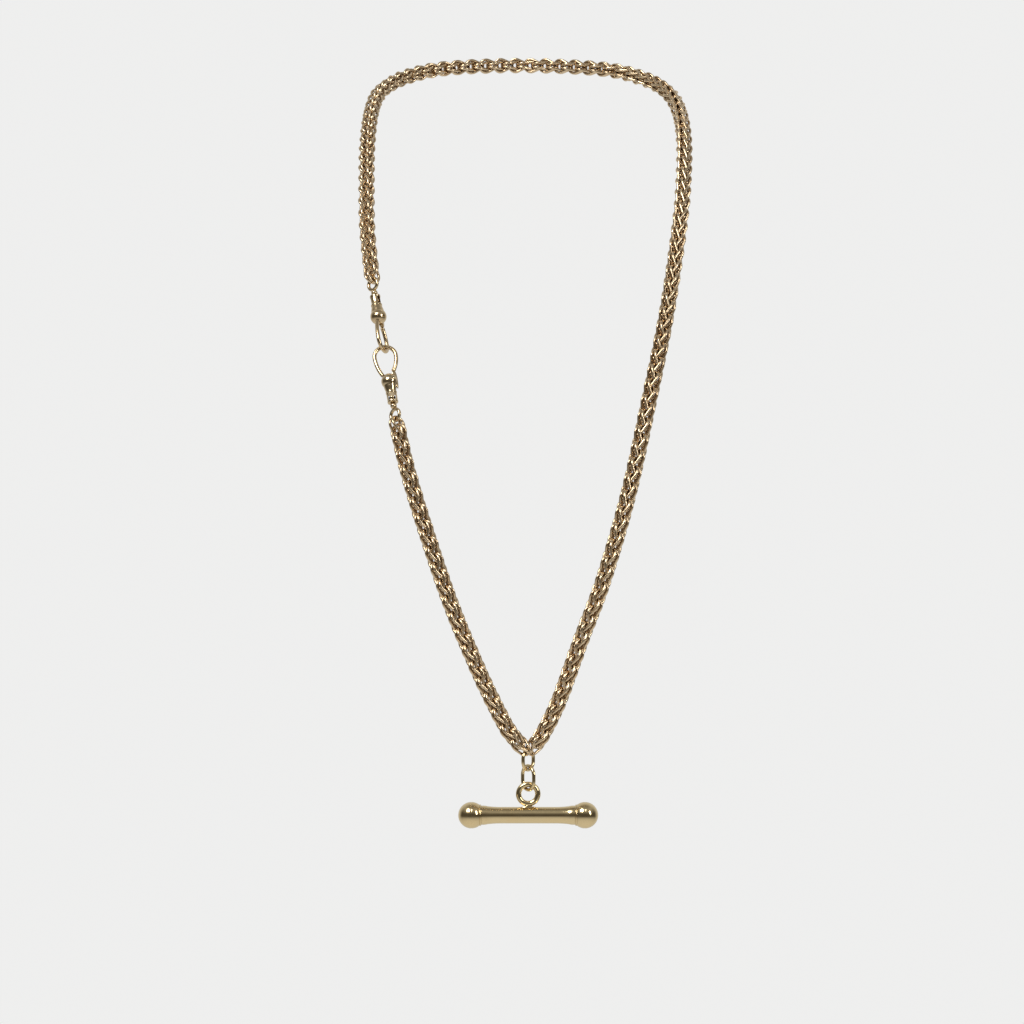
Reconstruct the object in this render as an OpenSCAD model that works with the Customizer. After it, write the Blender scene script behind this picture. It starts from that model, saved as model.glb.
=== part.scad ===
// Pocket watch chain with a T-bar drop and two dog clips, hung as it is worn.
// Millimetres, +Z up, -Y to the front, +X to the viewer's right.
// Origin: centre of the chain at the middle of the nape.

/* [Chain] */
// wire diameter of a chain link
link_wire = 0.53; // [0.48:0.01:0.54]
// distance from one link to the next
pitch = 2.2; // [2.1:0.05:2.4]
// radius of the bend over a link's crown
crown_r = 1.825; // [1.8:0.005:1.85]
// half the distance between a crown's two strands
strand_off = 0.282; // [0.28:0.002:0.32]
// how far a crown's strands lean apart, in degrees
splay = 10.16; // [9.5:0.02:11]
// how far the legs turn inwards, in degrees
turn_in = 25.6; // [25:0.1:27]
// straight length of a leg
leg_len = 1.89; // [1.8:0.01:1.95]

/* [T-bar] */
// length over the balls
bar_len = 35; // [30:1:45]
// diameter of the plain bar
bar_d = 4.1; // [3.6:0.1:4.6]
// diameter of the bar where it meets a ball
flare_d = 4.9; // [4.6:0.1:5.4]
// diameter of a ball
ball_d = 6.6; // [6:0.1:7.4]
// mean radius of the ring on the bar
bar_ring_r = 2.4; // [2.2:0.1:2.8]
// wire of the ring on the bar
bar_ring_wire = 1.4; // [1.2:0.1:1.6]

/* [Drop links] */
// wire of the two drop links
drop_wire = 0.9; // [0.8:0.05:1]
// end radius and straight of the upper drop link
upper_link = [2.25, 0.55];
// end radius and straight of the lower drop link
lower_link = [2.4, 1.2];

/* [Dog clips] */
// diameter of a clip's bulb
bulb_d = 4.2; // [4:0.1:4.6]
// wire of a clip's hook
hook_wire = 1.05; // [0.95:0.05:1.1]
// radius of the hook's round end
hook_r = 2.75; // [2.5:0.05:3]
// bulb centre to the middle of the wire at the hook's end
hook_reach = 9.945; // [9.9:0.005:10]
// bulb centre to the centre of the swivel eye
eye_dist = 9.6; // [9.4:0.1:9.8]
// mean radius and wire of a swivel eye
eye_ring = [1.55, 0.9];
// diameter of a swivel's shank, in a bore 0.06 larger
shank_d = 1.04; // [0.9:0.02:1.1]
// diameter of a gate's pin
pin_d = 0.7; // [0.6:0.05:0.8]

/* [Hidden] */
$fn = 32;

gold = [0.80, 0.60, 0.32];
nape = [0, 115.5, 189];
half = 2.66;
// the clips' line, from the lower eye to the upper eye
eye_low = [-33.5, 13.2, 84.2];
u = [-6.5, 15, 35.2] / norm([-6.5, 15, 35.2]);
eye_up = eye_low + 38 * u;
bulb_low = eye_low + eye_dist * u;
bulb_up = eye_up - eye_dist * u;
// the drop
drop_x = 0.3;
upper_top = 0.1;
upper_dir = [cos(55), sin(55), 0];
lower_dir = [cos(-55), sin(-55), 0];
bar_ring_z = -11;
bar_z = -16.3;

// where the chain runs, from the bottom of the V, up and round the neck, to the upper clip
run_r = [[0.32, 0.94, -0.83], [2.7, 0.94, 2.1], [4.9, 0.95, 5.7], [8.3, 1, 13], [13.6, 1.2, 27.6],
    [19.2, 2, 42.5], [25.6, 6, 64], [31.2, 14, 88], [36.3, 25.5, 111], [40.3, 39.5, 133.9],
    [42, 49.5, 146.7], [43, 63, 160.5], [42.3, 76.5, 170.8], [39.5, 88, 177.6], [33, 99.5, 183],
    [22, 109, 187], [0, 115.5, 189], [-22, 109.5, 187.3], [-33.5, 100, 183.5], [-40, 88.5, 178],
    [-42.4, 76.5, 171], [-43, 62, 159.8], [-42.6, 49, 147], [-41.9, 39, 134], eye_up + 0.66 * u];
out_r = [[0, -1, 0], [0, -1, 0], [0, -1, 0], [0, -1, 0], [0, -1, 0], [0, -1, 0.1], [0, -1, 0.2],
    [0, -1, 0.4], [0.1, -1, 0.5], [0.2, -1, 0.7], [0.3, -0.9, 0.9], [0.5, -0.7, 1], [0.6, -0.4, 1],
    [0.6, 0, 1], [0.5, 0.4, 1], [0.3, 0.7, 1], [0, 0.9, 1], [-0.3, 0.7, 1], [-0.5, 0.4, 1], [-0.6, 0, 1],
    [-0.6, -0.4, 1], [-0.5, -0.7, 1], [-0.3, -0.9, 0.9], [-0.2, -1, 0.7], [0, -1, 0.4]];
// and from the bottom of the V up to the lower clip
run_l = [[0.25, -0.94, -0.8], [-2.2, -0.94, 2], [-4.7, -0.8, 5.1], [-8.1, -0.4, 11.4], [-12.6, 0.5, 20.9],
    [-19.4, 1.8, 37.3], [-26.3, 5.2, 57.5], [-30.2, 8.6, 70.2], [-32.6, 11.7, 80], eye_low - 0.66 * u];
out_l = [[0, -1, 0], [0, -1, 0], [0, -1, 0], [0, -1, 0], [0, -1, 0], [0, -1, 0.1], [0, -1, 0.2],
    [0, -1, 0.3], [0, -1, 0.4], [0, -1, 0.4]];

function unit(v) = v / norm(v);
function flat(v, t) = unit(v - t * (v * t));
function bend(a, b, c, d, t) = 0.5 * (2 * b + (c - a) * t + (2 * a - 5 * b + 4 * c - d) * t * t
    + (3 * b - a - 3 * c + d) * t * t * t);
function at(p, i) = i < 0 ? 2 * p[0] - p[1]
    : i >= len(p) ? 2 * p[len(p) - 1] - p[len(p) - 2] : p[i];
function fine(p) = concat([for (i = [0:len(p) - 2]) for (k = [0:23])
    bend(at(p, i - 1), p[i], p[i + 1], at(p, i + 2), k / 24)], [p[len(p) - 1]]);
function sums(d) = [for (i = 0, s = 0; i < len(d); s = s + (i < len(d) - 1 ? norm(d[i + 1] - d[i]) : 0),
    i = i + 1) s];
function cols(s, d) = [for (k = [0:2]) [for (i = [0:len(s) - 1]) [s[i], d[i][k]]]];
// a run: where it is, which way is out, its length, its last link, its exact pitch
function run_of(p, n) = let (d = fine(p), s = sums(d), total = s[len(s) - 1],
    last = round((total - 2 * half) / pitch))
    [cols(s, d), cols(s, fine(n)), total, last, (total - 2 * half) / last];
function look(c, t) = [for (k = [0:2]) lookup(t, c[k])];
function heading(r, t) = unit(look(r[0], min(t + 2, r[2])) - look(r[0], max(t - 2, 0)));
right_run = run_of(run_r, out_r);
left_run = run_of(run_l, out_l);

module frame3(x, y, z, o = [0, 0, 0])
    multmatrix([[x[0], y[0], z[0], o[0]], [x[1], y[1], z[1], o[1]], [x[2], y[2], z[2], o[2]], [0, 0, 0, 1]])
        children();
module arc(r, d, a, b)
    rotate([0, 0, a]) rotate_extrude(angle = b - a) translate([r, 0]) circle(d = d);
module torus(r, d)
    rotate_extrude() translate([r, 0]) circle(d = d);
// Straight lengths and weaker bends are 0.02 thinner than the round ends and run a little way into
// them, so that each wire is one clean solid.
thin = 0.02;
into = 0.12;
// a closed oval of wire, standing in the x-z plane, its middle at the origin
module oval(r, straight, d)
    rotate([90, 0, 0]) {
        translate([0, straight / 2, 0]) arc(r, d, 0, 180);
        translate([0, -straight / 2, 0]) arc(r, d, 180, 360);
        for (s = [-1, 1]) translate([s * r, 0, 0]) rotate([90, 0, 0])
            cylinder(d = d - thin, h = straight + 2 * into, center = true);
    }

// One chain link: an oval folded in half over its crown, with two loops hanging below it.
// Each loop holds the crown of the link before the last one.
over = 90 + turn_in;
e2 = [0, sin(splay), -cos(splay)];
crown_end = [crown_r * sin(over), strand_off, 0] + crown_r * (1 - cos(over)) * e2;
down = [cos(over), 0, 0] + sin(over) * e2;
lean = asin(down[1]);
leg_end = crown_end + leg_len * down;
loop_r = leg_end[1] / cos(lean);
loop_axis = unit([down[0], 0, down[2]]);
loop_mid = leg_end + loop_r * (sin(lean) * loop_axis - cos(lean) * [0, 1, 0]);

module leg(from, way)
    translate(from) rotate([0, acos(way[2]), atan2(way[1], way[0])]) translate([0, 0, -into])
        cylinder(d = link_wire - thin, h = leg_len + 2 * into);
module link()
    for (s = [0, 180]) rotate([0, 0, s]) {
        frame3(-e2, [1, 0, 0], cross(-e2, [1, 0, 0]), [0, strand_off, 0] + crown_r * e2)
            arc(crown_r, link_wire, -over, over);
        leg(crown_end, down);
        leg([-crown_end[0], crown_end[1], crown_end[2]], [-down[0], down[1], down[2]]);
        frame3(loop_axis, [0, 1, 0], cross(loop_axis, [0, 1, 0]), loop_mid)
            arc(loop_r, link_wire, -(90 + lean), 90 + lean);
    }
module place_link(r, i) {
    t = half + i * r[4];
    up = heading(r, t);
    n = flat(look(r[1], t), up);
    x = (cross(up, n) - n) / sqrt(2);
    y = cross(up, x);
    frame3(i % 2 == 0 ? x : y, i % 2 == 0 ? y : -x, up, look(r[0], t)) translate([0, 0, half]) link();
}
module links(r, a, b)
    color(gold) translate(-nape) for (i = [a:b]) place_link(r, i);

module nape_right() links(right_run, 101, 120);
module nape_left() links(right_run, 121, 140);
module shoulder_right() links(right_run, 81, 100);
module shoulder_left() links(right_run, 141, 160);
module right_1() links(right_run, 73, 80);
module right_2() links(right_run, 65, 72);
module right_3() links(right_run, 58, 64);
module right_4() links(right_run, 40, 57);
module right_5() links(right_run, 32, 39);
module right_6() links(right_run, 25, 31);
module right_7() links(right_run, 17, 24);
module right_8() links(right_run, 9, 16);
module right_9() links(right_run, 0, 8);
module left_1() links(right_run, 161, 168);
module left_2() links(right_run, 169, 176);
module left_3() links(right_run, 177, right_run[3]);
module left_5() links(left_run, 33, left_run[3]);
module left_6() links(left_run, 25, 32);
module left_7() links(left_run, 17, 24);
module left_8() links(left_run, 9, 16);
module left_9() links(left_run, 0, 8);

// The drop: two plain links and a T-bar
module upper_drop_link()
    color(gold) translate(-nape) frame3(upper_dir, cross([0, 0, 1], upper_dir), [0, 0, 1],
        [drop_x, 0, upper_top - upper_link[0] - upper_link[1] / 2])
        oval(upper_link[0], upper_link[1], drop_wire);
module lower_drop_link()
    color(gold) translate(-nape) frame3(lower_dir, cross([0, 0, 1], lower_dir), [0, 0, 1],
        [drop_x, 0, bar_ring_z + bar_ring_r - bar_ring_wire / 2 - drop_wire / 2 - 0.22
            + lower_link[0] + lower_link[1] / 2])
        oval(lower_link[0], lower_link[1], drop_wire);
module on_bar()
    translate([drop_x, 0, bar_z] - nape) children();
ball_x = bar_len / 2 - ball_d / 2;
collar_x = ball_x - sqrt(pow(ball_d / 2, 2) - pow(flare_d / 2, 2));
module bar_shape()
    rotate_extrude() polygon([[0, -collar_x], [flare_d / 2, -collar_x],
        [flare_d / 2 - 0.25, -collar_x + 1.6], [bar_d / 2, -collar_x + 4.5], [bar_d / 2, collar_x - 4.5],
        [flare_d / 2 - 0.25, collar_x - 1.6], [flare_d / 2, collar_x], [0, collar_x]]);
module bar()
    color(gold) on_bar() rotate([0, 90, 0]) bar_shape();
// a hollow ball made in two halves: a fine seam runs round its middle
module ball(s)
    color(gold) on_bar() rotate([0, s * 90, 0]) difference() {
        translate([0, 0, ball_x]) sphere(d = ball_d);
        translate([0, 0, collar_x - 5]) cylinder(r = 5, h = 5);
        translate([0, 0, ball_x]) rotate_extrude() translate([ball_d / 2 - 0.08, -0.06]) square([1, 0.12]);
    }
module ball_left() ball(-1);
module ball_right() ball(1);
module collar(s)
    color(gold) on_bar() rotate([0, s * 90, 0]) difference() {
        translate([0, 0, collar_x]) torus(flare_d / 2, 0.5);
        translate([0, 0, ball_x]) sphere(d = ball_d);
        bar_shape();
    }
module collar_left() collar(-1);
module collar_right() collar(1);
module bar_ring()
    color(gold) translate([drop_x, 0, bar_ring_z] - nape) rotate([90, 0, 0]) torus(bar_ring_r, bar_ring_wire);
// the solder foot that fills between the ring and the bar
module bar_ring_foot()
    color(gold) on_bar() difference() {
        rotate([90, 0, 0]) linear_extrude(1.3, center = true) polygon([[-2, bar_d / 2 - 0.6], [2, bar_d / 2 - 0.6],
            [1.9, bar_d / 2 + 0.06], [1.35, bar_d / 2 + 0.3], [1.05, bar_d / 2 + 0.75],
            [-1.05, bar_d / 2 + 0.75], [-1.35, bar_d / 2 + 0.3], [-1.9, bar_d / 2 + 0.06]]);
        rotate([0, 90, 0]) cylinder(d = bar_d, h = 10, center = true);
        translate([0, 0, bar_ring_z - bar_z]) rotate([90, 0, 0]) torus(bar_ring_r, bar_ring_wire);
    }

// A dog clip, in its own frame: +z to its swivel eye, the hook below, the gate on +x
upper_way = [0.3, 1, 0];
module clip_at(up)
    if (up) frame3(flat(upper_way, u), cross(u, flat(upper_way, u)), u, bulb_up - nape) children();
    else frame3(flat([1, 0, 0], u), cross(-u, flat([1, 0, 0], u)), -u, bulb_low - nape) children();
module in_hook() frame3([1, 0, 0], [0, 0, -1], [0, 1, 0]) children();
pin_at = [1.3, 0, -0.1];
hook_mid = hook_reach - hook_r;
module clip_bulb()
    difference() {
        union() {
            sphere(d = bulb_d);
            translate([0, 0, 1.2]) cylinder(d1 = 3.6, d2 = 2.7, h = 2.1);
            translate([0, 0, 3.1]) cylinder(d = 2.9, h = 0.4);
            translate([0, 0, 3.4]) cylinder(d = 2.7, h = 2.8);
        }
        // the window of the swivel yoke, and the shank's bore
        translate([-0.92, -3, 3.6]) cube([1.84, 6, 1.9]);
        translate([0, 0, 4]) cylinder(d = shank_d + 0.06, h = 4);
        // the gate's slot
        translate([0.1, -0.57, -3]) cube([4, 1.14, 6.2]);
        translate(pin_at) rotate([90, 0, 0]) cylinder(d = pin_d, h = 6, center = true);
    }
module clip_hook()
    difference() {
        in_hook() {
            translate([0, hook_mid, 0]) arc(hook_r, hook_wire, 0, 180);
            translate([11.6 - hook_r, hook_mid, 0]) arc(11.6, hook_wire - thin, 179.3, 210);
            translate([hook_r - 8, hook_mid, 0]) arc(8, hook_wire - thin, -31.7, 1);
            translate([hook_r - 8 + 8 * cos(31.7), hook_mid - 8 * sin(31.7), 0]) sphere(d = hook_wire + 0.08);
        }
        sphere(d = bulb_d);
    }
gate_shape = [[0.75, 0.9], [1.05, 2.0], [1.35, 2.33], [1.7, 2.35], [1.95, 2.15], [2.1, 1.2], [2.16, 0],
    [2.14, -0.9], [2.1, -1.6], [2.02, -2.05], [1.8, -2.2], [1.6, -1.8], [1.2, -1.1], [0.75, -0.5]];
module clip_gate()
    in_hook() difference() {
        translate([0, 0, -0.52]) linear_extrude(1.04) polygon(gate_shape);
        translate([pin_at[0], -pin_at[2], -2]) cylinder(d = pin_d + 0.06, h = 4);
    }
module clip_pin()
    intersection() {
        translate(pin_at) rotate([90, 0, 0]) cylinder(d = pin_d, h = 6, center = true);
        sphere(d = bulb_d);
    }
module clip_eye(way)
    translate([0, 0, eye_dist]) rotate([0, 0, way]) rotate([90, 0, 0]) torus(eye_ring[0], eye_ring[1]);
module clip_stem(way)
    difference() {
        union() {
            translate([0, 0, 4.4]) cylinder(d = shank_d, h = 3.4);
            translate([0, 0, 4.42]) cylinder(d = 1.7, h = 0.55);
            translate([0, 0, 7]) sphere(d = 1.7);
        }
        clip_eye(way);
    }
eye_way = [67.4, 45];
module bulb_upper() color(gold) clip_at(true) clip_bulb();
module bulb_lower() color(gold) clip_at(false) clip_bulb();
module hook_upper() color(gold) clip_at(true) clip_hook();
module hook_lower() color(gold) clip_at(false) clip_hook();
module gate_upper() color(gold) clip_at(true) clip_gate();
module gate_lower() color(gold) clip_at(false) clip_gate();
module gate_pin_upper() color(gold) clip_at(true) clip_pin();
module gate_pin_lower() color(gold) clip_at(false) clip_pin();
module swivel_eye_upper() color(gold) clip_at(true) clip_eye(eye_way[0]);
module swivel_eye_lower() color(gold) clip_at(false) clip_eye(eye_way[1]);
module swivel_stem_upper() color(gold) clip_at(true) clip_stem(eye_way[0]);
module swivel_stem_lower() color(gold) clip_at(false) clip_stem(eye_way[1]);

nape_right();
nape_left();
shoulder_right();
shoulder_left();
right_1();
right_2();
right_3();
right_4();
right_5();
right_6();
right_7();
right_8();
right_9();
left_1();
left_2();
left_3();
left_5();
left_6();
left_7();
left_8();
left_9();
upper_drop_link();
lower_drop_link();
bar();
ball_left();
ball_right();
collar_left();
collar_right();
bar_ring();
bar_ring_foot();
bulb_upper();
hook_upper();
gate_upper();
gate_pin_upper();
swivel_stem_upper();
swivel_eye_upper();
bulb_lower();
hook_lower();
gate_lower();
gate_pin_lower();
swivel_stem_lower();
swivel_eye_lower();
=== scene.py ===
import math
import bpy
import numpy as np
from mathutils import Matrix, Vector


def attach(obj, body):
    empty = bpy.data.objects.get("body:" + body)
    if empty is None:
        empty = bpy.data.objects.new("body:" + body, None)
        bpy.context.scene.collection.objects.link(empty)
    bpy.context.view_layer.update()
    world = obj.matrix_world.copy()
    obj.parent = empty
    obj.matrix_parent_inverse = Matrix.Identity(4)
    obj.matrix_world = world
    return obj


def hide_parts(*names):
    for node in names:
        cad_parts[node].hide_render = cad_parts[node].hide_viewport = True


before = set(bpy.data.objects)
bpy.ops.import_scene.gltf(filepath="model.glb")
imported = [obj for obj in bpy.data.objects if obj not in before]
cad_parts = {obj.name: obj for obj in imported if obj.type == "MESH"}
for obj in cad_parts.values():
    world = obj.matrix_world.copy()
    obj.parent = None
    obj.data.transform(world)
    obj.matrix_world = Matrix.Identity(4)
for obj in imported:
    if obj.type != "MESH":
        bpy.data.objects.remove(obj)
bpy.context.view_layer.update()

# ------------------------------------------------------------------ sizes, in millimetres
MM = 0.001
NAPE = np.array([0, 115.5, 189.0])                  # the row frame's origin, in the drawing's own frame

# one chain link: the radius over its crown, each strand's distance from the middle, and how far
# the sides splay and turn in below the crown
PITCH = 2.2
CROWN_R, STRAND, SPLAY, TURN_IN, LEG = 1.825, 0.282, 10.16, 25.6, 1.89
HALF = 2.66                                         # from the end of a run to its first link's middle
DRAWN_WIRE = 0.72                                   # a fault: the CAD's wire is 0.53

# the two clips lie on one line, along U, between the two swivel eyes
CLIP_LINE = np.array([-6.5, 15, 35.2])
U = CLIP_LINE / np.linalg.norm(CLIP_LINE)
EYE_LOW = np.array([-33.5, 13.2, 84.2])
EYE_UP = EYE_LOW + 38 * U
EYE_DIST, EYE_R, EYE_WIRE = 9.6, 1.55, 0.9
EYE_GAP = 0.66                                      # from an eye's middle to the end of its run
BULB_LOW, BULB_UP = EYE_LOW + EYE_DIST * U, EYE_UP - EYE_DIST * U
BULB_D, SHANK_D, PIN_D = 4.2, 1.04, 0.7
PIN_X, PIN_Z = 1.3, -0.1
HOOK_WIRE, HOOK_R, HOOK_REACH = 1.05, 2.75, 9.945
HOOK_BACK_R, HOOK_NOSE_R, NOSE_TURN, NOSE_WIRE_R = 11.6, 8, 31.7, 0.56
GATE_HALF = 0.51

# the drop links, as (end radius, straight side), the bar and its ring
DROP_X, BAR_Z, BAR_RING_Z = 0.3, -16.3, -11.0
BAR_LEN, BAR_D, FLARE_D, BALL_D, BAR_RING_R, BAR_RING_WIRE = 35.0, 4.1, 4.9, 6.6, 2.4, 1.4
DROP_WIRE, UPPER_LINK, LOWER_LINK = 0.9, (2.25, 0.55), (2.4, 1.2)
UPPER_TOP, DROP_SLACK, DROP_TURN = 0.1, 0.22, 55
COLLAR_R = 0.235
FLARE, LIP = 5, 1.8                                 # where the bar starts to flare, and its lip

# the middle of each run of chain, from the bottom of the V, and the way its front looks there
RUN_R = [(.32, .94, -.83), (2.7, .94, 2.1), (4.9, .95, 5.7), (8.3, 1, 13), (13.6, 1.2, 27.6), (19.2, 2, 42.5),
         (25.6, 6, 64), (31.2, 14, 88), (36.3, 25.5, 111), (40.3, 39.5, 133.9), (42, 49.5, 146.7),
         (43, 63, 160.5), (42.3, 76.5, 170.8), (39.5, 88, 177.6), (33, 99.5, 183), (22, 109, 187),
         (0, 115.5, 189), (-22, 109.5, 187.3), (-33.5, 100, 183.5), (-40, 88.5, 178), (-42.4, 76.5, 171),
         (-43, 62, 159.8), (-42.6, 49, 147), (-41.9, 39, 134), tuple(EYE_UP + EYE_GAP * U)]
OUT_R = [(0, -1, 0)] * 5 + [(0, -1, .1), (0, -1, .2), (0, -1, .4), (.1, -1, .5), (.2, -1, .7), (.3, -.9, .9),
         (.5, -.7, 1), (.6, -.4, 1), (.6, 0, 1), (.5, .4, 1), (.3, .7, 1), (0, .9, 1), (-.3, .7, 1),
         (-.5, .4, 1), (-.6, 0, 1), (-.6, -.4, 1), (-.5, -.7, 1), (-.3, -.9, .9), (-.2, -1, .7), (0, -1, .4)]
RUN_L = [(.25, -.94, -.8), (-2.2, -.94, 2), (-4.7, -.8, 5.1), (-8.1, -.4, 11.4), (-12.6, .5, 20.9),
         (-19.4, 1.8, 37.3), (-26.3, 5.2, 57.5), (-30.2, 8.6, 70.2), (-32.6, 11.7, 80),
         tuple(EYE_LOW - EYE_GAP * U)]
OUT_L = [(0, -1, 0)] * 5 + [(0, -1, .1), (0, -1, .2), (0, -1, .3), (0, -1, .4), (0, -1, .4)]

# the gate's outline: x to its own side, the second number down towards the hook's end
GATE = [(0.75, 0.9), (1.05, 2.0), (1.35, 2.33), (1.7, 2.35), (1.95, 2.15), (2.1, 1.2), (2.16, 0),
        (2.14, -0.9), (2.1, -1.6), (2.02, -2.05), (1.8, -2.2), (1.6, -1.8), (1.2, -1.1), (0.75, -0.5)]
# the barrel behind the bulb, as (radius, height): a cone, a rolled rim, a plain yoke and its end bead
BARREL = [(1.62, 1.8), (1.52, 2.2), (1.42, 2.6), (1.35, 2.95), (1.34, 3.06), (1.41, 3.1), (1.45, 3.18),
          (1.455, 3.3), (1.44, 3.42), (1.36, 3.5), (1.33, 3.56), (1.34, 4.4), (1.33, 5.5), (1.335, 5.62),
          (1.375, 5.68), (1.39, 5.8), (1.38, 5.98), (1.33, 6.12), (1.22, 6.2), (0, 6.2)]
BULB_EDGE = 1.70                                    # the radius where the bulb meets its barrel
# the swivel's shank: its head inside the yoke, then the part that runs through the yoke's end
SHANK = [(0, 4.42), (.62, 4.42), (.8, 4.5), (.85, 4.62), (.85, 4.8), (.78, 4.93), (.56, 4.97), (.52, 5.02),
         (.52, 6.2), (.54, 6.28), (.56, 6.36)]
BEAD_R, BEAD_Z = .85, 7


def unit(v):
    v = np.array(v, float)
    return v / np.linalg.norm(v)


def flat(v, t):
    """v with its part along the unit vector t taken out, as a unit vector."""
    v = np.array(v, float)
    return unit(v - t * (v @ t))


def full_turn(n):
    return 2 * math.pi * np.arange(n) / n


# ------------------------------------------------------------------ mesh helpers
def sweep(path, radius, closed, segs=12):
    """Vertices and faces of a wire along a path, with frames carried along it without twist."""
    p = np.array(path, float)
    n = len(p)
    t = (np.roll(p, -1, 0) - np.roll(p, 1, 0)) if closed else np.gradient(p, axis=0)
    t /= np.linalg.norm(t, axis=1)[:, None]
    normals = [flat([0.31, 0.87, 0.41], t[0])]
    for i in range(1, n):
        normals.append(flat(normals[-1], t[i]))
    normals = np.array(normals)
    if closed:
        # the frame that comes back is turned against the first one: spread that turn over the loop
        v = flat(normals[-1], t[0])
        off = math.atan2(v @ np.cross(t[0], normals[0]), v @ normals[0])
        ang = -off * np.arange(n) / n
        normals = normals * np.cos(ang)[:, None] + np.cross(t, normals) * np.sin(ang)[:, None]
    b = np.cross(t, normals)
    r = np.broadcast_to(np.array(radius, float), (n,))
    th = full_turn(segs)
    v = (p[:, None] + r[:, None, None] * (np.cos(th)[None, :, None] * normals[:, None]
         + np.sin(th)[None, :, None] * b[:, None])).reshape(-1, 3)
    rows = n if closed else n - 1
    i, k = np.meshgrid(np.arange(rows), np.arange(segs), indexing="ij")
    j, m = (i + 1) % n, (k + 1) % segs
    f = np.stack([i * segs + k, i * segs + m, j * segs + m, j * segs + k], -1).reshape(-1, 4)
    faces = [tuple(q) for q in f.tolist()]
    if not closed:
        faces.append(tuple(range(segs - 1, -1, -1)))
        faces.append(tuple(range((n - 1) * segs, n * segs)))
    return v, faces


def lathe(profile, segs=64):
    """A turned solid about +Z from (radius, z) pairs; its ends on the axis are closed."""
    verts, faces, rings = [], [], []
    for r, z in profile:
        if r < 1e-6:
            rings.append([len(verts)])
            verts.append((0, 0, z))
        else:
            rings.append(list(range(len(verts), len(verts) + segs)))
            verts += [(r * math.cos(2 * math.pi * k / segs), r * math.sin(2 * math.pi * k / segs), z)
                      for k in range(segs)]
    for a, b in zip(rings, rings[1:]):
        for k in range(segs):
            m = (k + 1) % segs
            if len(a) == 1 and len(b) > 1:
                faces.append((a[0], b[m], b[k]))
            elif len(b) == 1 and len(a) > 1:
                faces.append((a[k], a[m], b[0]))
            elif len(a) > 1:
                faces.append((a[k], a[m], b[m], b[k]))
    return np.array(verts, float), faces


def block(a, b):
    (x0, y0, z0), (x1, y1, z1) = a, b
    v = [(x, y, z) for x in (x0, x1) for y in (y0, y1) for z in (z0, z1)]
    return v, [(0, 1, 3, 2), (4, 6, 7, 5), (0, 4, 5, 1), (2, 3, 7, 6), (0, 2, 6, 4), (1, 5, 7, 3)]


def turned(v, x, y, z, o=(0, 0, 0)):
    """v taken from its own frame to the one with axes x, y, z and origin o."""
    v = np.array(v, float)
    return v @ np.array([x, y, z], float) + np.array(o, float)


def new_object(name, verts, faces):
    me = bpy.data.meshes.new(name)
    me.from_pydata((np.array(verts, float) * MM).tolist(), [], faces)
    me.validate()
    me.update()
    o = bpy.data.objects.new(name, me)
    bpy.context.scene.collection.objects.link(o)
    return o


def mesh(name, parts, material, smooth=True):
    """One object from several (vertices in mm, faces) parts, in the row frame."""
    faces, n = [], 0
    for v, f in parts:
        faces += [tuple(i + n for i in q) for q in f]
        n += len(v)
    o = new_object(name, np.vstack([v for v, f in parts]), faces)
    for p in o.data.polygons:
        p.use_smooth = smooth
    o.data.materials.append(material)
    return o


def set_piece(o, body, slot, *nodes):
    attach(o, body)
    if nodes:
        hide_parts(*nodes)


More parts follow.
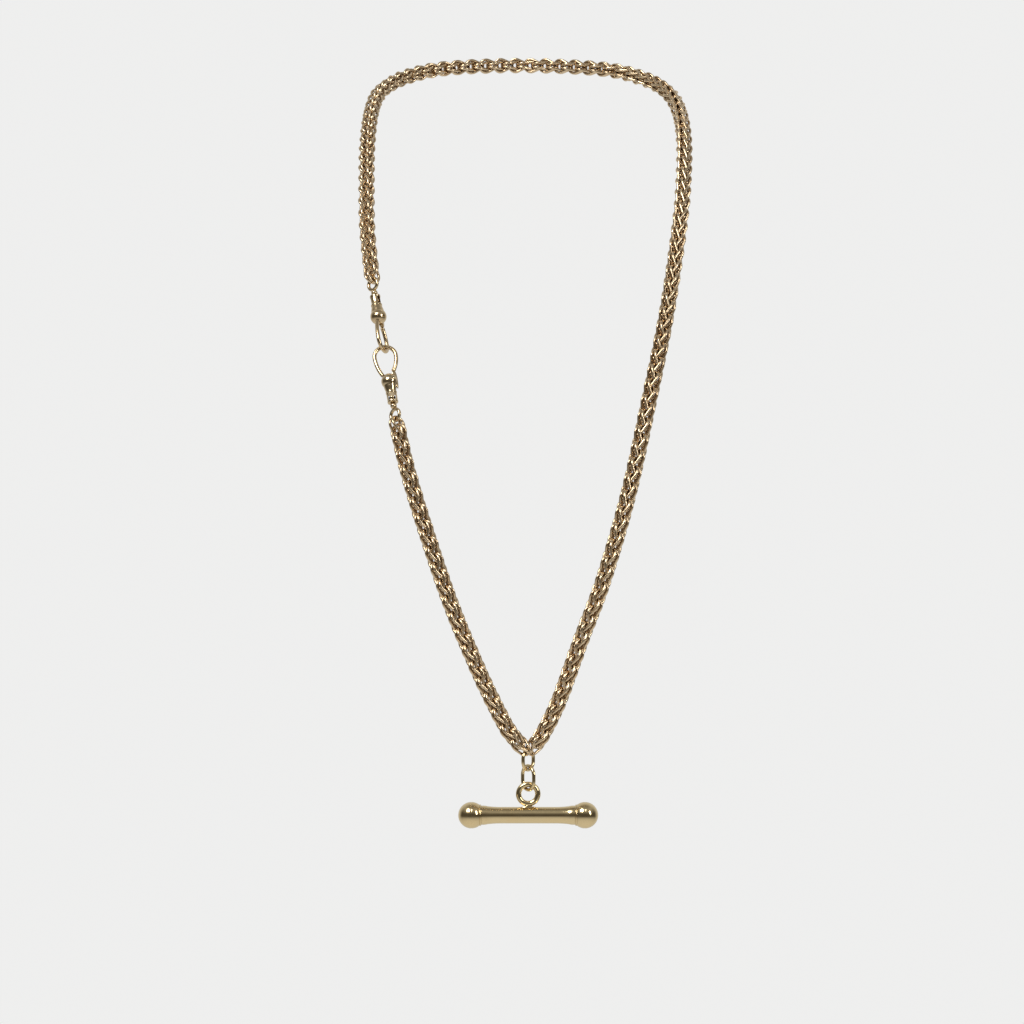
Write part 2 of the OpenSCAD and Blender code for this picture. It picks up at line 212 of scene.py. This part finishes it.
# ------------------------------------------------------------------ gold
def gold(name, base, recess_shade, rough, scratch, scale=1.0):
    """Polished gold: base is its colour in the open; the second colour is painted shade, laid into the
    recesses.
    """
    m = bpy.data.materials.new(name)
    m.use_nodes = True
    tree = m.node_tree
    tree.nodes.clear()
    link = tree.links.new

    def node(kind, **inputs):
        n = tree.nodes.new("ShaderNode" + kind)
        for key, value in inputs.items():
            n.inputs[key.replace("_", " ")].default_value = value
        return n

    out = node("OutputMaterial")
    metal = node("BsdfPrincipled", Metallic=1.0)
    link(metal.outputs[0], out.inputs[0])
    place = node("TexCoord").outputs["Object"]
    big = node("TexNoise", Scale=160 * scale, Detail=4)
    fine = node("TexNoise", Scale=1400 * scale, Detail=6)
    link(place, big.inputs["Vector"])
    link(place, fine.inputs["Vector"])
    # colour: a painted shade, darker and warmer, in the recesses (found by ambient occlusion), with a faint
    # tarnish drifting over it
    ao = node("AmbientOcclusion", Distance=0.0009)
    ao.samples = 6
    open_air = node("MapRange", From_Min=0.25, From_Max=0.85)
    link(ao.outputs["AO"], open_air.inputs["Value"])
    mix = node("Mix")
    mix.data_type = "RGBA"
    mix.inputs["A"].default_value, mix.inputs["B"].default_value = (*recess_shade, 1), (*base, 1)
    link(open_air.outputs["Result"], mix.inputs["Factor"])
    warm = node("MapRange", From_Min=0.42, From_Max=0.68, To_Max=0.55)
    link(big.outputs["Fac"], warm.inputs["Value"])
    tint = node("Mix")
    tint.data_type, tint.blend_type = "RGBA", "MULTIPLY"
    tint.inputs["B"].default_value = (0.97, 0.88, 0.78, 1)
    link(warm.outputs["Result"], tint.inputs["Factor"])
    link(mix.outputs["Result"], tint.inputs["A"])
    link(tint.outputs["Result"], metal.inputs["Base Color"])
    # roughness: polish worn in patches, and duller in the recesses
    patches = node("MapRange", From_Min=0.35, From_Max=0.7, To_Min=rough * 0.75, To_Max=rough * 1.5)
    link(fine.outputs["Fac"], patches.inputs["Value"])
    recess = node("MapRange", To_Min=0.14, To_Max=0.0)
    link(open_air.outputs["Result"], recess.inputs["Value"])
    total = node("Math")
    total.operation = "ADD"
    link(patches.outputs["Result"], total.inputs[0])
    link(recess.outputs["Result"], total.inputs[1])
    link(total.outputs[0], metal.inputs["Roughness"])
    # relief: hairline scratches, and soft dents under them
    stretch = node("Mapping", Scale=(0.35, 3.2, 0.6), Rotation=(0.5, 0.3, 0.9))
    link(place, stretch.inputs["Vector"])
    hair = node("TexNoise", Scale=900 * scale, Detail=3)
    link(stretch.outputs["Vector"], hair.inputs["Vector"])
    lines = node("Bump", Strength=0.12 * scratch, Distance=0.00003)
    link(hair.outputs["Fac"], lines.inputs["Height"])
    dents = node("Bump", Strength=0.25 * scratch, Distance=0.00008)
    link(big.outputs["Fac"], dents.inputs["Height"])
    link(lines.outputs["Normal"], dents.inputs["Normal"])
    link(dents.outputs["Normal"], metal.inputs["Normal"])
    return m


# each gold's second colour is painted shade for its recesses
CHAIN_GOLD = gold("chain_gold", (0.83, 0.66, 0.44), (0.25, 0.14, 0.05), 0.21, 0.3)
CLIP_GOLD = gold("clip_gold", (0.77, 0.61, 0.38), (0.22, 0.13, 0.045), 0.15, 0.3, 0.6)
BAR_GOLD = gold("bar_gold", (0.86, 0.69, 0.395), (0.30, 0.18, 0.07), 0.13, 0.25, 0.5)


# ------------------------------------------------------------------ the chain
def bend(a, b, c, d, t):
    """The smooth curve from b to c, where a and d are the points before and after them."""
    return .5 * (2 * b + (c - a) * t + (2 * a - 5 * b + 4 * c - d) * t * t + (3 * b - a - 3 * c + d) * t ** 3)


def fine_route(points, n=24):
    p = [np.array(q, float) for q in points]
    p = [2 * p[0] - p[1]] + p + [2 * p[-1] - p[-2]]
    out = [bend(p[i - 1], p[i], p[i + 1], p[i + 2], k / n) for i in range(1, len(p) - 2) for k in range(n)]
    return np.array(out + [p[-2]])


class Run:
    """A run of chain: whole links, evenly spaced along its route."""

    def __init__(self, points, outward):
        self.d, self.n = fine_route(points), fine_route(outward)
        self.s = np.concatenate([[0], np.cumsum(np.linalg.norm(np.diff(self.d, axis=0), axis=1))])
        self.total = self.s[-1]
        self.last = int(round((self.total - 2 * HALF) / PITCH))
        self.step = (self.total - 2 * HALF) / self.last

    def at(self, table, t):
        return np.array([np.interp(t, self.s, table[:, k]) for k in range(3)])

    def place(self, i, loop):
        """The points of link i; every other link is turned a quarter about the run."""
        t = HALF + i * self.step
        up = unit(self.at(self.d, min(t + 2, self.total)) - self.at(self.d, max(t - 2, 0)))
        n = flat(self.at(self.n, t), up)
        x = (np.cross(up, n) - n) / math.sqrt(2)
        y = np.cross(up, x)
        if i % 2:
            x, y = y, -x
        return turned(loop + [0, 0, HALF], x, y, up, self.at(self.d, t) - NAPE)


def link_path():
    """The middle of one link's wire: a loop folded over its crown, worked out for one quarter."""
    al, be = math.radians(SPLAY), math.radians(TURN_IN)
    side = np.array([0, math.sin(al), -math.cos(al)])
    over = math.pi / 2 + be
    ph = np.linspace(0, over, 13)
    crown = np.outer(CROWN_R * np.sin(ph), [1, 0, 0]) \
        + np.outer(CROWN_R * (1 - np.cos(ph)), side) + [0, STRAND, 0]
    down = np.array([math.cos(over), 0, 0]) + math.sin(over) * side
    leg = crown[-1] + np.outer(np.linspace(0, 1, 5)[1:], LEG * down)
    g = math.asin(down[1])
    r = leg[-1][1] / math.cos(g)
    ps = np.linspace(g, -math.pi / 2, 12)[1:]
    turn = leg[-1] + np.outer(r * (math.sin(g) - np.sin(ps)), unit([down[0], 0, down[2]])) \
        + np.outer(-r * (math.cos(g) - np.cos(ps)), [0, 1, 0])
    q = np.vstack([crown, leg, turn])
    flip = lambda s: q * np.array(s)
    return np.vstack([q, flip([1, -1, 1])[::-1][1:], flip([-1, -1, 1])[1:], flip([-1, 1, 1])[::-1][1:-1]])


RIGHT, LEFT = Run(RUN_R, OUT_R), Run(RUN_L, OUT_L)
LOOP_V, LOOP_F = sweep(link_path(), DRAWN_WIRE / 2, True, 14)
# each length of chain: its node, its body, its run and its first and last links
GROUPS = [("nape_right", "neck_chain", RIGHT, 101, 120), ("nape_left", "neck_chain", RIGHT, 121, 140),
          ("shoulder_right", "neck_chain", RIGHT, 81, 100), ("shoulder_left", "neck_chain", RIGHT, 141, 160),
          ("right_1", "drape_1", RIGHT, 73, 80), ("right_2", "drape_2", RIGHT, 65, 72),
          ("right_3", "drape_3", RIGHT, 58, 64), ("right_4", "drape_4", RIGHT, 40, 57),
          ("right_5", "drape_5", RIGHT, 32, 39), ("right_6", "drape_6", RIGHT, 25, 31),
          ("right_7", "drape_7", RIGHT, 17, 24), ("right_8", "drape_8", RIGHT, 9, 16),
          ("right_9", "drape_9", RIGHT, 0, 8), ("left_1", "drape_1", RIGHT, 161, 168),
          ("left_2", "drape_2", RIGHT, 169, 176), ("left_3", "drape_3", RIGHT, 177, RIGHT.last),
          ("left_5", "drape_5", LEFT, 33, LEFT.last), ("left_6", "drape_6", LEFT, 25, 32),
          ("left_7", "drape_7", LEFT, 17, 24), ("left_8", "drape_8", LEFT, 9, 16),
          ("left_9", "drape_9", LEFT, 0, 8)]
for name, body, run, first, last in GROUPS:
    o = mesh("chain_" + name, [(run.place(i, LOOP_V), LOOP_F) for i in range(first, last + 1)], CHAIN_GOLD)
    set_piece(o, body, "gold_chain", name)


# ------------------------------------------------------------------ drop links, T-bar
def drop_link(name, body, azimuth, mid_z, size):
    r, straight = size
    a = np.linspace(0, math.pi, 28)
    top = np.stack([r * np.cos(a), 0 * a, r * np.sin(a) + straight / 2], 1)
    v, f = sweep(np.vstack([top, top * [-1, 1, -1]]), DROP_WIRE / 2, True, 20)
    x = np.array([math.cos(math.radians(azimuth)), math.sin(math.radians(azimuth)), 0])
    y = np.cross([0, 0, 1], x)
    v = turned(v, x, y, (0, 0, 1), np.array([DROP_X, 0, mid_z]) - NAPE)
    set_piece(mesh(name + "_gold", [(v, f)], BAR_GOLD), body, "gold_drop", name)


UP_MID = UPPER_TOP - UPPER_LINK[0] - UPPER_LINK[1] / 2
drop_link("upper_drop_link", "upper_drop", DROP_TURN, UP_MID, UPPER_LINK)
LOW_MID = BAR_RING_Z + BAR_RING_R - BAR_RING_WIRE / 2 - DROP_WIRE / 2 - DROP_SLACK \
    + LOWER_LINK[0] + LOWER_LINK[1] / 2
drop_link("lower_drop_link", "lower_drop", -DROP_TURN, LOW_MID, LOWER_LINK)

BAR_O = np.array([DROP_X, 0, BAR_Z]) - NAPE
BAR_R, BALL_R, FLARE_R = BAR_D / 2, BALL_D / 2, FLARE_D / 2
BALL_X = BAR_LEN / 2 - BALL_R
COLLAR_X = BALL_X - math.sqrt(BALL_R ** 2 - FLARE_R ** 2)


def bar_piece(name, parts):
    set_piece(mesh(name + "_gold", parts, BAR_GOLD), "t_bar", "gold_drop", name)


# the bar: plain in the middle, then a slow flare and a rounded lip at each end
bar_half = [(BAR_R, 0), (BAR_R, 3), (BAR_R, 6), (BAR_R, COLLAR_X - FLARE)]
steps = [k / 12 for k in range(1, 13)]
bar_half += [(BAR_R + .2 * s ** 1.8, COLLAR_X - FLARE + (FLARE - LIP) * s) for s in steps]
bar_half += [(BAR_R + .2 + .2 * math.sin(s * 2.2) ** .8 - .06 * s, COLLAR_X - LIP + LIP * s) for s in steps]
profile = [(0, -COLLAR_X)] + [(r, -z) for r, z in bar_half[:0:-1]] + bar_half + [(0, COLLAR_X)]
v, f = lathe(profile, 72)
bar_piece("bar", [(turned(v, (0, 1, 0), (0, 0, 1), (1, 0, 0), BAR_O), f)])
for side, s in (("left", -1), ("right", 1)):
    # the ball is cut off at its collar, and has a fine seam round its widest place
    start = math.acos((COLLAR_X - BALL_X) / BALL_R)
    prof = []
    for k in range(61):
        a = start * (1 - k / 60)
        z = BALL_X + BALL_R * math.cos(a)
        prof.append((BALL_R * math.sin(a) - .06 * math.exp(-((z - BALL_X) / .07) ** 2), z))
    v, f = lathe([(0, prof[0][1])] + prof, 72)
    bar_piece("ball_" + side, [(turned(v, (0, s, 0), (0, 0, 1), (s, 0, 0), BAR_O), f)])
    th = full_turn(240)
    ring = np.stack([0 * th + s * COLLAR_X, FLARE_R * np.cos(th), FLARE_R * np.sin(th)], 1)
    bar_piece("collar_" + side, [sweep(ring + BAR_O, COLLAR_R, True, 16)])
th = full_turn(96)
ring = np.stack([BAR_RING_R * np.cos(th), 0 * th, BAR_RING_R * np.sin(th)], 1)
bar_piece("bar_ring", [sweep(ring + np.array([DROP_X, 0, BAR_RING_Z]) - NAPE, BAR_RING_WIRE / 2, True, 24)])

# the solder foot: a saddle that runs down from the ring and out along the bar
foot_v, foot_f = [], []
NU, NV = 33, 17
SUNK = .12                                          # how far its edge goes into the bar
for i in range(NU):
    a = -1 + 2 * i / (NU - 1)
    for k in range(NV):
        b = math.radians(-90 + 180 * k / (NV - 1))
        y = .62 * (1 - .35 * a ** 2) * math.sin(b)
        if 0 < k < NV - 1 and 0 < i < NU - 1:
            z = BAR_R + .72 * math.exp(-(2.1 * a) ** 2) * math.cos(b) ** .6
        else:
            z = math.sqrt(BAR_R ** 2 - y * y) - SUNK
        foot_v.append((2 * a, y, z))
for i in range(NU - 1):
    for k in range(NV - 1):
        foot_f.append((i * NV + k, (i + 1) * NV + k, (i + 1) * NV + k + 1, i * NV + k + 1))
foot_f.append(tuple([i * NV for i in range(NU)] + [(NU - 1) * NV + k for k in range(1, NV)]
                    + [i * NV + NV - 1 for i in range(NU - 2, -1, -1)] + [k for k in range(NV - 2, 0, -1)]))
bar_piece("bar_ring_foot", [(np.array(foot_v) + BAR_O, foot_f)])


# ------------------------------------------------------------------ the two dog clips
def solid(name, parts, turn, cutters=(), bevel=0):
    """A clip's piece: cut its holes, break its edges, then put it in its place as plain mesh."""
    o = mesh(name, parts, CLIP_GOLD)
    cutters = [new_object("cutter", *c) for c in cutters]
    for c in cutters:
        m = o.modifiers.new("cut", "BOOLEAN")
        m.operation, m.object, m.solver = "DIFFERENCE", c, "EXACT"
    if bevel:
        m = o.modifiers.new("edge", "BEVEL")
        m.width, m.segments, m.limit_method, m.angle_limit = bevel * MM, 2, "ANGLE", math.radians(38)
        m.use_clamp_overlap = True
    bpy.context.view_layer.update()
    me = bpy.data.meshes.new_from_object(o.evaluated_get(bpy.context.evaluated_depsgraph_get()))
    o.modifiers.clear()
    o.data = me
    for c in cutters:
        bpy.data.objects.remove(c)
    v = np.empty(len(me.vertices) * 3)
    me.vertices.foreach_get("co", v)
    me.vertices.foreach_set("co", (turn(v.reshape(-1, 3) / MM) * MM).ravel())
    me.materials.clear()
    me.materials.append(CLIP_GOLD)
    for p in me.polygons:
        p.use_smooth = True
    me.set_sharp_from_angle(angle=math.radians(42))
    me.update()
    return o


def across(v):
    """Turn a lathe's axis along Y and put it where the gate's pin is."""
    return turned(v, (1, 0, 0), (0, 0, -1), (0, 1, 0), (PIN_X, 0, PIN_Z))


def rod(r, a, b):
    return lathe([(0, a), (r, a), (r, b), (0, b)], 32)


def arc_points(cx, cz, r, degrees):
    t = np.radians(degrees)
    return np.stack([cx + r * np.cos(t), 0 * t, -(cz + r * np.sin(t))], 1)


def clip(side, x, z, origin, way):
    """One clip. In its own frame the bulb's middle is the origin, +Z runs to the swivel's eye and
    the gate is on the +X side. way is the eye's turn about the clip, in degrees."""
    y = np.cross(z, x)
    turn = lambda v: turned(v, x, y, z, origin - NAPE)
    R = BULB_D / 2

    def piece(name, body, *made):
        set_piece(solid(name + "_" + side + "_gold", *made), body, "gold_clip", name + "_" + side)

    # bulb and tapered barrel
    prof = [(0, -R)]
    for k in range(1, 33):
        a = math.pi - k / 32 * (math.pi - math.asin(BULB_EDGE / R))
        prof.append((R * math.sin(a), R * math.cos(a)))
    prof += [(1.66, prof[-1][1] + .16)] + BARREL
    hole = rod(PIN_D / 2 + .005, -3, 3)
    cuts = [block((-.92, -3, 3.6), (.92, 3, 5.5)),          # the yoke's opening
            rod((SHANK_D + .06) / 2, 4, 8),                 # the shank's bore
            block((.1, -.57, -3), (4.1, .57, 3.2)),         # the gate's slot
            (across(hole[0]), hole[1])]
    piece("bulb", "clip_pair", [lathe(prof, 96)], turn, cuts, .09)
    # the hook: a drawn wire that thickens and then rounds off at its nose
    mid = HOOK_REACH - HOOK_R
    tip = np.array([.9, 1.8, 2.5, 3.1, 3.5, 3.8, 3.97])
    nose_x = HOOK_R - HOOK_NOSE_R
    path = np.vstack([arc_points(HOOK_BACK_R - HOOK_R, mid, HOOK_BACK_R, np.linspace(207.5, 180, 30)),
                      arc_points(0, mid, HOOK_R, np.linspace(180, 0, 60))[1:],
                      arc_points(nose_x, mid, HOOK_NOSE_R, np.linspace(0, -NOSE_TURN, 28))[1:],
                      arc_points(nose_x, mid, HOOK_NOSE_R, -(NOSE_TURN + tip))])
    rad = np.full(len(path), HOOK_WIRE / 2)
    rad[-11:-7] = [.53, .54, .55, .56]
    rad[-7:] = np.sqrt(np.maximum(NOSE_WIRE_R ** 2 - (HOOK_NOSE_R * np.radians(tip)) ** 2, .003))
    piece("hook", "clip_pair", [sweep(path, rad, False, 24)], turn)
    # the gate, cut from plate along a smooth outline
    pts = [np.array([p[0], -p[1]]) for p in GATE]
    m = len(pts)
    near = [[pts[(i + j) % m] for j in (-1, 0, 1, 2)] for i in range(m)]
    line = np.array([bend(*q, k / 4) for q in near for k in range(4)])
    v = np.vstack([np.stack([line[:, 0], 0 * line[:, 0] + s * GATE_HALF, line[:, 1]], 1) for s in (-1, 1)])
    k = len(line)
    f = [tuple(range(k)), tuple(range(2 * k - 1, k - 1, -1))]
    f += [(i, k + i, k + (i + 1) % k, (i + 1) % k) for i in range(k)]
    area = (line[:, 0] * np.roll(line[:, 1], -1) - np.roll(line[:, 0], -1) * line[:, 1]).sum()
    if area < 0:
        f = [q[::-1] for q in f]
    piece("gate", side + "_gate", [(v, f)], turn, (), .13)
    # its pin, domed at both ends, which stops just inside the bulb's skin
    e = math.sqrt((R - .02) ** 2 - PIN_X ** 2 - PIN_Z ** 2)
    dome = [(0, e), (.2, e - .015), (.3, e - .06), (.345, e - .16)]
    v, f = lathe([(r, -q) for r, q in dome] + dome[::-1], 28)
    piece("gate_pin", "clip_pair", [(across(v), f)], turn)
    # swivel: headed shank, its bead and the eye
    prof = list(SHANK)
    for k in range(17):
        a = math.radians(38 + 142 * k / 16)
        prof.append((BEAD_R * math.sin(a), BEAD_Z - BEAD_R * math.cos(a)))
    piece("swivel_stem", "drape_4", [lathe(prof, 40)], turn)
    th, a = full_turn(72), math.radians(way)
    ring = np.stack([EYE_R * np.cos(th) * math.cos(a), EYE_R * np.cos(th) * math.sin(a),
                     EYE_DIST + EYE_R * np.sin(th)], 1)
    piece("swivel_eye", "drape_4", [sweep(ring, EYE_WIRE / 2, True, 24)], turn)


clip("upper", flat([.3, 1, 0], U), U, BULB_UP, 67.4)
clip("lower", flat([1, 0, 0], U), -U, BULB_LOW, 45)

# ------------------------------------------------------------------ camera, floor, light
scene = bpy.context.scene
VIEW_DIST, VIEW_WIDTH = 720, 256                    # the view is 256 mm wide, 720 mm in front of the camera
cam_data = bpy.data.cameras.new("camera")
cam = bpy.data.objects.new("camera", cam_data)
scene.collection.objects.link(cam)
cam_data.sensor_width = 36
cam_data.lens = 36 * VIEW_DIST / VIEW_WIDTH
cam_data.clip_start, cam_data.clip_end = 0.01, 20
cam.location = Vector(((np.array([-3.75, -VIEW_DIST, 59.5]) - NAPE) * MM).tolist())
cam.rotation_euler = (math.radians(90), 0, 0)
scene.camera = cam

# a plain pale floor well below the hanging chain; the metal doesn't mirror it, but sees the room's
# own pale lower half in its place
FLOOR_Z, FLOOR_R = -0.45, 0.9
floor_look = bpy.data.materials.new("floor")
floor_look.use_nodes = True
paint = floor_look.node_tree.nodes["Principled BSDF"]
paint.inputs["Base Color"].default_value = (0.8, 0.8, 0.795, 1)
paint.inputs["Roughness"].default_value = 0.9
paint.inputs["Emission Color"].default_value = (0.86, 0.86, 0.855, 1)
paint.inputs["Emission Strength"].default_value = 0.45
rim = [(FLOOR_R * math.cos(a) / MM, (FLOOR_R * math.sin(a) - 0.05) / MM, FLOOR_Z / MM)
       for a in full_turn(128)]
floor = mesh("floor", [(rim, [tuple(range(128))])], floor_look, False)
floor.visible_glossy = floor.visible_diffuse = False

# the room as the metal sees it, from straight down to straight up: pale below, dark in front at eye
# level, dim above, and pale behind. Where nothing is in the way the camera sees a plain pale backdrop.
BACKDROP, BEHIND = (0.86, 0.86, 0.855, 1), (.62, .62, .61, 1)
ROOM = [(0, .66), (.15, .61), (.27, .50), (.36, .30), (.43, .10), (.48, .075), (.62, .08), (.74, .19),
        (.88, .36), (1, .22)]
world = bpy.data.worlds.new("world")
scene.world = world
world.use_nodes = True
world.node_tree.nodes.clear()
add, wire = world.node_tree.nodes.new, world.node_tree.links.new
out, chooser, path = add("ShaderNodeOutputWorld"), add("ShaderNodeMixShader"), add("ShaderNodeLightPath")
backdrop, room = add("ShaderNodeBackground"), add("ShaderNodeBackground")
backdrop.inputs[0].default_value = BACKDROP
split = add("ShaderNodeSeparateXYZ")
wire(add("ShaderNodeTexCoord").outputs["Generated"], split.inputs[0])
height = add("ShaderNodeMapRange")
height.inputs["From Min"].default_value, height.inputs["From Max"].default_value = -1, 1
wire(split.outputs["Z"], height.inputs["Value"])
level = add("ShaderNodeValToRGB")
wire(height.outputs["Result"], level.inputs[0])
el = level.color_ramp.elements
while len(el) < len(ROOM):
    el.new(.5)
for e, (at, g) in zip(el, ROOM):
    white = min(1, g * 4)                           # the darker, the warmer
    e.position, e.color = at, (g, g * (.88 + .1 * white), g * (.68 + .27 * white), 1)
back = add("ShaderNodeMapRange")
back.inputs["From Min"].default_value, back.inputs["From Max"].default_value = .1, .75
wire(split.outputs["Y"], back.inputs["Value"])
both = add("ShaderNodeMix")
both.data_type = "RGBA"
both.inputs["B"].default_value = BEHIND
wire(back.outputs["Result"], both.inputs["Factor"])
wire(level.outputs["Color"], both.inputs["A"])
wire(both.outputs["Result"], room.inputs[0])
wire(path.outputs["Is Camera Ray"], chooser.inputs[0])
wire(room.outputs[0], chooser.inputs[1])
wire(backdrop.outputs[0], chooser.inputs[2])
wire(chooser.outputs[0], out.inputs[0])
scene.view_settings.view_transform = "Standard"


def softbox(name, place, size, watts, colour=(1, 1, 1)):
    """A lit panel, size in metres, that looks at the middle of the chain."""
    d = bpy.data.lights.new(name, "AREA")
    d.shape, d.size, d.size_y, d.energy, d.color = "RECTANGLE", size[0], size[1], watts, colour
    o = bpy.data.objects.new(name, d)
    o.location = place
    o.rotation_euler = (Vector((0, -0.08, -0.1)) - Vector(place)).to_track_quat("-Z", "Y").to_euler()
    scene.collection.objects.link(o)


softbox("key", (-0.55, -0.85, 0.75), (0.55, 0.55), 9, (1, 0.98, 0.95))
softbox("fill", (0.75, -0.75, 0.25), (0.16, 0.5), 2.6)
